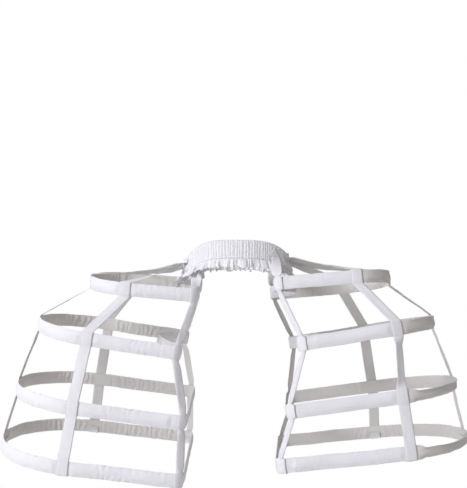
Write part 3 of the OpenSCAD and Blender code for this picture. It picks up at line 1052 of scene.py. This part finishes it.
class HangingTape(ClothPiece):
    """One tape, sewn to the waistband and down the outside of the hoops."""

    STEP = 2.6 * MM
    ROWS = 24
    TAPE_SEED = 23.9
    SIDE_SEED = 47.1
    ROOF_AT = (0.14, 0.38, 0.62, 0.86)
    NECK_AT = (0.16, 0.84)
    STATIONS_AT_WAIST = 2 + len(ROOF_AT)
    STATIONS_A_HOOP = 6 + len(NECK_AT)
    FACING = {(Side.RIGHT, TapeName.OUTER_FRONT, HoopName.SECOND): math.radians(-32)}
    CURL = 5.0 * MM
    FLUTTER = 1.3 * MM
    EDGE_WAVE = 0.5 * MM
    SWAY = 0.7 * MM
    THREAD_LIFT = 0.08 * MM
    THREAD_MARGIN = 1.5 * MM

    def __init__(self, hang: Hang, tape: TapeName, sizes: dict[HoopName, HoopSize]) -> None:
        """Set out the tape.

        Args:
            hang: How the cage hangs.
            tape: The tape's name.
            sizes: The cage's hoops.
        """
        self.hang, self.tape, self.sizes = hang, tape, sizes
        self.plans = {hoop: HoopPlan(size) for hoop, size in sizes.items()}
        self.seed = self.TAPE_SEED * tape.value + self.SIDE_SEED * (hang.side.value + 1)
        self.line = self.walk(self.stations())
        name = f"{hang.side.word}_{tape.word}_tape"
        length = sum((b.middle - a.middle).length for a, b in zip(self.line, self.line[1:]))
        columns, width = len(self.line) - 1, 2 * TAPE.width
        super().__init__(f"{name}.cloth", TAPE_CLOTH, name, columns, self.ROWS, length, width)

    def on_hoop(self, hoop: HoopName, out: float, z: float) -> Station:
        """Place the tape on a hoop.

        Args:
            hoop: The hoop.
            out: Distance out from the middle of the casing.
            z: Height from the middle of the casing.

        Returns:
            The station there.
        """
        size, plan = self.sizes[hoop], self.plans[hoop]
        spot = plan.spot(plan.crossing(self.tape))
        return Station(
            self.hang.point(size, spot.point + out * spot.out + z * UP),
            self.hang.direction(size, spot.along),
            TAPE.width / 2,
            self.hang.direction(size, spot.out),
            1.0 / (plan.bend(self.tape) + out),
        )

    def crossing(self, hoop: HoopName) -> list[Station]:
        """Place the tape down the face of a hoop, and up inside the bottom one.

        Args:
            hoop: The hoop.

        Returns:
            The stations from the top edge down.
        """
        edge_out = CASING.edge_t / 2 + TAPE.gap + TAPE.cad_t / 2
        full_out = CASING.full_t / 2 + TAPE.gap + TAPE.cad_t / 2
        half_h, past = CASING.height / 2, CASING.height / 2 + TAPE.gap + TAPE.cad_t / 2
        near_out, near = mix(full_out, edge_out, 0.6), half_h - TAPE.ease
        rows = [(edge_out, half_h + TAPE.ease), (near_out, near), (full_out, CASING.shoulder)]
        rows += [(full_out, -CASING.shoulder), (near_out, -near)]
        if hoop is HoopName.BOTTOM:
            rows += [(edge_out, -past), (-edge_out, -past)]
            rows += [(-full_out, -CASING.shoulder), (-full_out, TAPE.hem - half_h)]
        else:
            rows += [(edge_out, -half_h - TAPE.ease)]
        found = [self.on_hoop(hoop, out, z) for out, z in rows]
        if self.tape.is_inner:
            for n in (0,) if hoop is HoopName.BOTTOM else (0, -1):
                found[n] = replace(found[n], half=self.hang.neck / 2 - TAPE.pinch)
        return found

    def on_waist(self, down: float, tuck: float = 0.0, lean: float = 0.0) -> Station:
        """Place the tape on the waistband.

        Args:
            down: Distance below the band's top edge.
            tuck: Distance behind the place on the band's face.
            lean: Distance round the band from the tape's own angle.

        Returns:
            The station there.
        """
        a = TAPE.waist_angle(self.tape) + lean / WAIST.half_w
        out = WAIST.band_face + WAIST.rib_depth + TAPE.gap + TAPE.cad_t / 2 - tuck
        flip = Vector((self.hang.side.value, 1.0, 1.0))
        return Station(
            WAIST.point(a if self.hang.side is Side.RIGHT else math.pi - a, out, down),
            WAIST.along(a) * flip,
            TAPE.width / 2,
            WAIST.out(a) * flip,
            1.0 / (WAIST.bend(a) + out),
        )

    def stations(self) -> list[Station]:
        """Place the whole tape.

        Returns:
            The stations from the waist down.
        """
        sewn = self.hang.tape_top if self.tape.is_inner else TAPE.outer_top
        tuck = self.hang.tuck if self.tape.is_inner else 0.0
        laps = [self.on_waist(sewn, tuck), self.on_waist(sewn + TAPE.lap, tuck / 2)]
        if self.tape is TapeName.INNER_FRONT:
            top = self.on_waist(sewn, tuck, self.hang.lean)
            fall = laps[1].middle - top.middle
            laps[0] = replace(top, across=self.hang.side.value * top.out.cross(fall).normalized())
        found = laps[:]
        top = self.crossing(HoopName.TOP)
        twist = 0.0 if self.tape.is_inner else -self.hang.side.value * TAPE.roof_twist
        for share in self.ROOF_AT:
            spot = laps[1].toward(top[0], share)
            sag = 4 * TAPE.roof_sag * share * (1 - share)
            turn = Matrix.Rotation(twist * (1 - share), 3, top[0].middle - laps[1].middle)
            found.append(Station(spot.middle - sag * UP, turn @ spot.across, TAPE.width / 2, spot.out, 0.0))
        neck = (self.hang.neck if self.tape.is_inner else TAPE.width) / 2
        for hoop in HoopName:
            here = self.crossing(hoop)
            found += here
            if hoop is not HoopName.BOTTOM:
                after = self.crossing(HoopName(hoop.value + 1))[0]
                facing = self.FACING.get((self.hang.side, self.tape, hoop), 0.0)
                turn = Matrix.Rotation(facing, 3, after.middle - here[-1].middle)
                for share in self.NECK_AT:
                    spot = here[-1].toward(after, share)
                    found.append(Station(spot.middle, turn @ spot.across, neck, spot.out, 0.0))
        return found

    def walk(self, stations: list[Station]) -> list[Station]:
        """Fill the tape's line with close stations and ease its corners.

        Args:
            stations: The stations that set the line out.

        Returns:
            The close stations.
        """
        line = [stations[0]]
        self.marks = [0]
        for a, b in zip(stations, stations[1:]):
            steps = max(2, math.ceil((b.middle - a.middle).length / self.STEP))
            line += [a.toward(b, n / steps) for n in range(1, steps + 1)]
            self.marks.append(len(line) - 1)
        middles = [station.middle for station in line]
        inner = [a * 0.25 + b * 0.5 + c * 0.25 for a, b, c in zip(middles, middles[1:], middles[2:])]
        eased = [middles[0], *inner, middles[-1]]
        last = len(line) - 1
        travels = [eased[min(n + 1, last)] - eased[max(n - 1, 0)] for n in range(last + 1)]
        side = self.hang.side.value
        self.normals = [side * way.cross(station.across).normalized() for way, station in zip(travels, line)]
        return [replace(station, middle=middle) for station, middle in zip(line, eased)]

    def surface(self, n: int, v: float, lift: float = 0.0) -> Vector:
        """Place a point of the tape.

        Args:
            n: Number of the station.
            v: Share of the way across the tape.
            lift: Distance out from the middle of the cloth.

        Returns:
            The point in the row frame.
        """
        spot = self.line[n]
        x = spot.half * (2.0 * v - 1.0)
        s = n * self.STEP
        fall = 1.0 / spot.bend - math.sqrt(1.0 / spot.bend**2 - x * x) if spot.bend > 1.0 else 0.0
        free = 1.0 - smooth(0.0, 1.0, spot.bend)
        narrow = 1.0 - spot.half / (TAPE.width / 2)
        curl = self.CURL * narrow * (2.0 * v - 1.0) ** 2
        flutter = free * self.FLUTTER * ripple(20.0 * s, self.seed, 1.5 * v)
        edge = free * self.EDGE_WAVE * ripple(60.0 * s, self.seed, 7.0 + 2.0 * v)
        sway = free * self.SWAY * ripple(18.0 * s, self.seed, 33.0)
        off = (lift + flutter + edge - curl) * self.normals[n] - fall * spot.out
        return spot.middle + (x + sway) * spot.across + off

    def place(self, u: float, v: float) -> Vector:
        """Return the tape's point: columns run down it, and rows run across its face and back behind it."""
        across = 1.0 - abs(2.0 * v - 1.0)
        lift = TAPE.thickness / 2 * math.sqrt(max(0.0, 1.0 - abs(2.0 * across - 1.0) ** 8))
        return self.surface(round(u * (len(self.line) - 1)), across, lift if v < 0.5 else -lift)

    def painted_shade_at(self, u: float, v: float) -> float:
        """Return 1 behind the tape, and where its end is turned up inside the bottom hoop, which take the
        darker other-side colour as painted shade.
        """
        hem = smooth(self.marks[-3], self.marks[-2], u * (len(self.line) - 1))
        return max(hem, window(v, 0.49, 0.52, 0.98, 1.0))

    def sew(self, thread: Stitching) -> None:
        """Lay the rows of stitches that hold the tape to the waistband and the hoops.

        Args:
            thread: The stitching to add to.
        """
        lift = TAPE.thickness / 2 + self.THREAD_LIFT
        rows = [self.marks[0] + 1, self.marks[1] - 1]
        for hoop in HoopName:
            first = self.STATIONS_AT_WAIST + self.STATIONS_A_HOOP * hoop.value
            rows += [self.marks[first + 1], self.marks[first + 4]]
        start, end = self.THREAD_MARGIN, TAPE.width - self.THREAD_MARGIN
        for n in rows:
            thread.row(lambda x: self.surface(n, x / TAPE.width, lift), start, end)


def hip_share(a: float) -> float:
    """Return 1 at the hips, easing to 0 before the inner tapes, at an angle round the waist."""
    return smooth(0.78, 0.95, abs(math.cos(a)))


def over_tape(a: float) -> float:
    """Return 1 where the frill lies over the left cage's inner tapes, at an angle round the waist."""
    return window(-math.cos(a), 0.50, 0.62, 0.84, 0.93)


def bunched(a: float) -> float:
    """Return 1 between the inner and outer tapes, where the frill bunches up, at an angle round the waist."""
    return window(abs(math.cos(a)), 0.80, 0.88, 0.91, 0.98)


class WaistElastic(ClothPiece):
    """The flat elastic inside the waistband."""

    COLUMNS = 180
    ROWS = 6

    def __init__(self) -> None:
        """Set out the elastic."""
        super().__init__(
            "waist_elastic.knit", ELASTIC_CLOTH, "waist_elastic", self.COLUMNS, self.ROWS,
            WAIST.girth(), WAIST.elastic_h, thickness=WAIST.elastic_t,
        )

    def place(self, u: float, v: float) -> Vector:
        """Return the elastic's point: rows run up it."""
        return WAIST.point(2 * math.pi * u, 0.0, WAIST.elastic_top + (1.0 - v) * WAIST.elastic_h)


class WaistCasing(ClothPiece):
    """The gathered cloth folded over the elastic, in upright ribs."""

    COLUMNS_A_RIB = 9
    ROWS = 36
    CLOTH = 0.7 * MM
    FULLNESS = 1.35
    LOWER_SEAM = 0.10
    UPPER_SEAM = 0.90
    TOP_TURN = 0.95
    SCALLOP = 0.5 * MM
    HIP_BULGE = 6 * MM
    HEM_PINCH = 0.8

    def __init__(self) -> None:
        """Set out the casing."""
        super().__init__(
            "waist_casing.cloth", BAND_CLOTH, "waist_casing", WAIST.ribs * self.COLUMNS_A_RIB, self.ROWS,
            self.FULLNESS * WAIST.girth(), 2 * WAIST.band_h, thickness=self.CLOTH,
        )

    def place(self, u: float, v: float) -> Vector:
        """Place a point of the casing: rows run up the outside, over the top and down the inside.

        Args:
            u: Share of the way round.
            v: Share of the way across the cloth.

        Returns:
            The point in the row frame.
        """
        a = 2 * math.pi * u
        face = 1.0 if v < 0.5 else -1.0
        t = 1.0 - abs(2.0 * v - 1.0)
        warp = 0.55 * waver(a, 12.0, 0.6 * face) + 0.22 * waver(a, 18.0, 2.2 * t + 9.0 * face)
        phase = 2 * math.pi * (WAIST.ribs * u + warp)
        ridge = (0.5 + 0.5 * math.cos(phase)) ** 0.8
        size = 0.8 + 0.45 * waver(a, 15.0, 3.0 * face) + 0.15 * waver(a, 27.0, 5.0 * t)
        lower_pull = 0.55 * math.exp(-(((t - self.LOWER_SEAM) / 0.06) ** 2))
        upper_pull = 0.45 * math.exp(-(((t - self.UPPER_SEAM) / 0.05) ** 2))
        rib = WAIST.rib_depth * clamp(size, 0.25, 1.05) * ridge * (1.0 - lower_pull - upper_pull)
        over = clamp((t - self.TOP_TURN) / (1.0 - self.TOP_TURN))
        out = face * (WAIST.band_face - self.CLOTH / 2 + rib) * math.sqrt(max(0.0, 1.0 - over * over))
        scallop = self.SCALLOP * math.cos(phase) * smooth(0.8, 1.0, t)
        if face > 0:
            low = smooth(0.62, 0.36, t) * smooth(0.0, 0.14, t) * hip_share(a)
            rough = 0.8 * waver(a, 15.0, 3.0 * t) + 0.5 * waver(a, 30.0, 6.0 * t)
            out *= mix(self.HEM_PINCH, 1.0, smooth(0.0, 0.12, t))
            out += self.HIP_BULGE * low * (0.75 + rough)
        return WAIST.point(a, out, WAIST.band_h * (1.0 - t) - scallop)

    def painted_shade_at(self, u: float, v: float) -> float:
        """Return 1 on the side that lies on the body, whose darker colour is painted shade."""
        return smooth(0.5, 0.54, v)


class WaistFrill(ClothPiece):
    """The ruffle below the waistband, pushed out and crumpled at the hips."""

    COLUMNS_A_FOLD = 20
    ROWS = 16
    CLOTH = 0.7 * MM
    FULLNESS = 2.0
    HEADER = WAIST.band_h - WAIST.header_top
    HIP_FALL = 0.55
    HIP_FLARE = 11 * MM
    HIP_SWING = 1.7
    CRUMPLE = 3 * MM
    START = 1.9 * MM
    STRAY = 0.8 * MM
    SCALLOP = 0.6
    COVER = 11 * MM
    BUNCH = 9 * MM

    def __init__(self) -> None:
        """Set out the frill."""
        super().__init__(
            "waist_frill.cloth", BAND_CLOTH, "waist_frill", WAIST.folds * self.COLUMNS_A_FOLD, self.ROWS,
            self.FULLNESS * WAIST.girth(), WAIST.frill_h + self.HEADER, thickness=self.CLOTH,
        )

    def place(self, u: float, v: float) -> Vector:
        """Place a point of the frill: rows run down to the hem.

        Args:
            u: Share of the way round.
            v: Share of the way down.

        Returns:
            The point in the row frame.
        """
        a = 2 * math.pi * u
        hip, cover = hip_share(a), over_tape(a)
        fall = WAIST.frill_h * (1.0 + 0.1 * waver(a, 15.0, 30.0))
        sewn = v * (self.HEADER + fall)
        # Below the band, g grows from 0 at the seam to 1 at the hem.
        g = clamp((sewn - self.HEADER) / fall)
        down = WAIST.header_top + min(sewn, self.HEADER) + fall * g * mix(1.0, self.HIP_FALL, hip)
        turn = WAIST.folds * u + 1.2 * waver(a, 9.0, 12.0) + 0.25 * g * waver(a, 15.0, 17.0)
        phase = 2 * math.pi * turn
        swing = WAIST.frill_wave * clamp(1.1 + 1.6 * waver(a, 12.9, 22.0), 0.35, 1.8)
        swing *= mix(1.0, self.HIP_SWING, max(hip, cover))
        fold = math.sin(phase) * swing * g ** mix(0.75, 0.5, hip)
        lean = 0.6 * swing * g * math.sin(2 * phase) + self.STRAY * g * waver(a, 24.0, 41.0)
        crumple = hip * g * self.CRUMPLE
        out = self.START * mix(0.5, 1.0, smooth(0.0, 0.1, g))
        out += mix(WAIST.frill_flare, self.HIP_FLARE, hip) * g**1.2
        out += self.COVER * cover * g**0.8 + self.BUNCH * bunched(a) * g
        out += fold + crumple * waver(a, 27.0, 6.0 * g)
        down += crumple * waver(a, 24.0, 50.0 + 5.0 * g) + self.SCALLOP * fold * g
        return WAIST.point(a, out, down) + lean * WAIST.along(a)


@dataclass
class Stitching:
    """The thread stitches of one cage, as short rounded bars lying on the cloth."""

    name: str
    length: float = 2.6 * MM
    gap: float = 1.2 * MM
    radius: float = 0.28 * MM
    bars: list[tuple[Vector, Vector]] = field(default_factory=list)

    def row(self, path: Callable[[float], Vector], start: float, end: float) -> None:
        """Lay a row of stitches.

        Args:
            path: Gives the point on the cloth at a distance along the row.
            start: Distance at which the row starts.
            end: Distance at which it ends.
        """
        count = max(1, int((end - start) / (self.length + self.gap)))
        step = (end - start) / count
        for n in range(count):
            at = start + n * step
            self.bars.append((path(at), path(at + step - self.gap)))

    def dress(self, material: bpy.types.Material) -> bpy.types.Object:
        """Make the stitches and put them on the frame.

        Args:
            material: The thread's material.

        Returns:
            The dressed object.
        """
        bm = bmesh.new()
        for a, b in self.bars:
            turn = (b - a).to_track_quat("X", "Z").to_matrix().to_4x4()
            stretch = Matrix.Diagonal(((b - a).length / 2 + self.radius, self.radius, self.radius, 1.0))
            spot = Matrix.Translation((a + b) / 2)
            bmesh.ops.create_icosphere(bm, subdivisions=1, radius=1.0, matrix=spot @ turn @ stretch)
        for face in bm.faces:
            face.smooth = True
        piece = settle(self.name, bm)
        piece.data.materials.append(material)
        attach(piece, BODY)
        LOG.info("%s: %d stitches", self.name, len(self.bars))
        return piece


class Cage:
    """One side-hip cage: its casings, tapes, stitches and steel."""

    EDGE_STITCH = 2.6 * MM
    THREAD_LIFT = 0.05 * MM

    def __init__(self, side: Side) -> None:
        """Set out the cage.

        Args:
            side: The cage's side.
        """
        self.side, self.hang, self.sizes = side, HANGS[side], HOOPS[side]
        self.casings = [HoopCasing(self.hang, hoop, size) for hoop, size in self.sizes.items()]
        self.tapes = [HangingTape(self.hang, tape, self.sizes) for tape in TapeName]

    def sew(self, casing: HoopCasing) -> Stitching:
        """Lay the stitches along the edges of a casing.

        Args:
            casing: The casing.

        Returns:
            The stitching.
        """
        thread = Stitching(f"{self.side.word}_{casing.hoop.word}_hoop_stitches")
        for face in (1.0, -1.0):
            for edge in (-1.0, 1.0):
                z = edge * (CASING.height / 2 - self.EDGE_STITCH)
                thread.row(lambda s: casing.surface(s, z, face, self.THREAD_LIFT), 0.0, casing.plan.length)
        return thread

    def dress(
        self, casing_cloth: bpy.types.Material, tape: bpy.types.Material, thread: bpy.types.Material
    ) -> None:
        """Dress every cloth piece of the cage.

        Args:
            casing_cloth: Material of the casings.
            tape: Material of the tapes.
            thread: Material of the stitches.
        """
        for casing in self.casings:
            casing.dress(casing_cloth)
            self.sew(casing).dress(thread)
        seams = Stitching(f"{self.side.word}_tape_stitches")
        for piece in self.tapes:
            piece.dress(tape)
            piece.sew(seams)
        seams.dress(thread)

    def plate(self, bone: bpy.types.Material, joiner: bpy.types.Material) -> None:
        """Give the cage's steel its finish.

        Args:
            bone: Material of the bones.
            joiner: Material of the joining sleeves.
        """
        finishes = {f"{self.side.word}_{hoop.word}_hoop_bone": bone for hoop in HoopName}
        finishes[f"{self.side.word}_bone_joiners"] = joiner
        for name, material in finishes.items():
            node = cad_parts[name]
            node.data.materials.clear()
            node.data.materials.append(material)
            LOG.info("%s: steel", name)


class Waist:
    """The waistband: its elastic, gathered casing, frill and stitches."""

    SEAMS = (0.05, 0.90)
    THREAD_LIFT = 0.45 * MM

    def on_casing(self, casing: WaistCasing, u: float, t: float) -> Vector:
        """Place a stitch on the outside of the band.

        Args:
            casing: The band's casing.
            u: Share of the way round.
            t: Share of the way up the outside.

        Returns:
            The point in the row frame.
        """
        return casing.place(u, t / 2) + self.THREAD_LIFT * WAIST.out(2 * math.pi * u)

    def dress(
        self, elastic: bpy.types.Material, band: bpy.types.Material, thread: bpy.types.Material
    ) -> None:
        """Dress the waistband's cloth.

        Args:
            elastic: Material of the elastic.
            band: Material of the casing and the frill.
            thread: Material of the stitches.
        """
        WaistElastic().dress(elastic)
        casing = WaistCasing()
        gathered = casing.dress(band)
        ruffle = WaistFrill().dress(band)
        seams, girth = Stitching("waist_stitches"), WAIST.girth()
        for t in self.SEAMS:
            seams.row(lambda s: self.on_casing(casing, s / girth, t), 0.0, girth)
        seams.dress(thread)


@dataclass(frozen=True)
class Lamp:
    """A square soft lamp: where it stands, its power and the length of its side."""

    name: str
    at: Place
    watts: float
    size: float

    def build(self, aim: Place, colour: Colour) -> bpy.types.Object:
        """Add the lamp to the scene.

        Args:
            aim: Where it points.
            colour: Colour of its light.

        Returns:
            The lamp.
        """
        data = bpy.data.lights.new(self.name, "AREA")
        data.energy, data.size, data.color = self.watts, self.size, colour
        lamp = bpy.data.objects.new(self.name, data)
        lamp.location = self.at
        lamp.rotation_mode = "QUATERNION"
        lamp.rotation_quaternion = (Vector(aim) - Vector(self.at)).to_track_quat("-Z", "Y")
        bpy.context.scene.collection.objects.link(lamp)
        return lamp


LAMPS = (
    Lamp("key", at=(-3.4, -3.1, 2.5), watts=212.0, size=1.9),
    Lamp("fill", at=(2.8, -1.8, 0.4), watts=4.0, size=1.8),
    Lamp("back", at=(-2.3, 2.6, 1.3), watts=20.0, size=1.9),
)


@dataclass(frozen=True)
class Studio:
    """The pale floor, white surroundings, soft lamps and the camera at the photo's view."""

    floor_drop: float = 0.45
    floor_size: float = 14.0
    floor_tone: float = 0.86
    floor_grain: float = 0.02
    fade: tuple[float, float] = (0.8, 1.5)
    world_level: float = 0.36
    world_colour: Colour = (1.0, 0.955, 0.925)
    lamp_colour: Colour = (0.94, 0.957, 1.0)
    lamp_aim: Place = (0.0, 0.0, -0.25)
    white: Colour = (1.0, 1.0, 1.0)
    camera_at: Place = (-0.0022, -1.750, -0.0861)
    pitch: float = math.radians(4.07)
    yaw: float = math.radians(-0.13)
    focal_px: float = 770.4
    long_side_px: float = 488.0
    sensor: float = 36.0

    def floor(self) -> bpy.types.Object:
        """Make the floor, which fades to white away from the object.

        Returns:
            The floor.
        """
        bm = bmesh.new()
        level = CAD_BOX[0].z - self.floor_drop
        bmesh.ops.create_grid(
            bm, x_segments=2, y_segments=2, size=self.floor_size / 2, matrix=Matrix.Translation((0, 0, level))
        )
        floor = settle("floor", bm)
        s = Shader("pale_floor")
        coords = s.add("TexCoord").outputs["Object"]
        flat = s.add("VectorMath", {0: coords, 1: (1.0, 1.0, 0.0)}, operation="MULTIPLY").outputs[0]
        away = s.add("VectorMath", {0: flat}, operation="LENGTH").outputs["Value"]
        far = s.add("MapRange", {0: away, 1: self.fade[0], 2: self.fade[1]}, interpolation_type="SMOOTHSTEP")
        grain = s.math("MULTIPLY_ADD", s.speckle(40.0, 2.0, coords), self.floor_grain, self.floor_tone)
        pale = s.add("BsdfDiffuse", {"Color": s.add("CombineXYZ", {0: grain, 1: grain, 2: grain}).outputs[0]})
        white = s.add("Emission", {"Color": opaque(self.white), "Strength": 1.0})
        seen = s.add("LightPath").outputs["Is Camera Ray"]
        share = s.math("MULTIPLY", far.outputs[0], seen)
        surface = s.add("MixShader", {0: share, 1: pale.outputs[0], 2: white.outputs[0]})
        floor.data.materials.append(s.finish(surface.outputs[0]))
        return floor

    def world(self) -> None:
        """Make the surroundings: white to the camera, and a plain soft light on the object."""
        world = bpy.data.worlds.new("studio")
        world.use_nodes = True
        tree = world.node_tree
        tree.nodes.clear()
        path = tree.nodes.new("ShaderNodeLightPath")
        mixer = tree.nodes.new("ShaderNodeMixShader")
        out = tree.nodes.new("ShaderNodeOutputWorld")
        tree.links.new(path.outputs["Is Camera Ray"], mixer.inputs[0])
        lights = ((self.world_colour, self.world_level), (self.white, 1.0))
        for n, (colour, level) in enumerate(lights, start=1):
            light = tree.nodes.new("ShaderNodeBackground")
            light.inputs["Color"].default_value = opaque(colour)
            light.inputs["Strength"].default_value = level
            tree.links.new(light.outputs[0], mixer.inputs[n])
        tree.links.new(mixer.outputs[0], out.inputs["Surface"])
        bpy.context.scene.world = world

    def camera(self) -> bpy.types.Object:
        """Set the camera at the photo's view.

        Returns:
            The camera.
        """
        data = bpy.data.cameras.new("camera")
        data.sensor_width = self.sensor
        data.lens = self.focal_px * self.sensor / self.long_side_px
        camera = bpy.data.objects.new("camera", data)
        camera.location = self.camera_at
        camera.rotation_euler = (math.pi / 2 + self.pitch, 0.0, -self.yaw)
        bpy.context.scene.collection.objects.link(camera)
        bpy.context.scene.camera = camera
        return camera

    def build(self) -> None:
        """Make the whole studio."""
        self.floor()
        self.world()
        for lamp in LAMPS:
            lamp.build(self.lamp_aim, self.lamp_colour)
        self.camera()
        bpy.context.scene.view_settings.view_transform = "Standard"
        LOG.info("studio: floor, lamps and camera")


def main() -> None:
    """Build the waistband, both cages and the studio, in that order."""
    logging.basicConfig(level=logging.INFO, format="%(name)s %(message)s")
    casing_cloth, tape, band = CASING_CLOTH.build(), TAPE_CLOTH.build(), BAND_CLOTH.build()
    elastic, thread = ELASTIC_CLOTH.build(), THREAD_CLOTH.build()
    bone, joiner = BONE_STEEL.build(), JOINER_STEEL.build()
    Waist().dress(elastic, band, thread)
    for side in Side:
        cage = Cage(side)
        cage.dress(casing_cloth, tape, thread)
        cage.plate(bone, joiner)
    Studio().build()


if __name__ == "__main__":
    main()
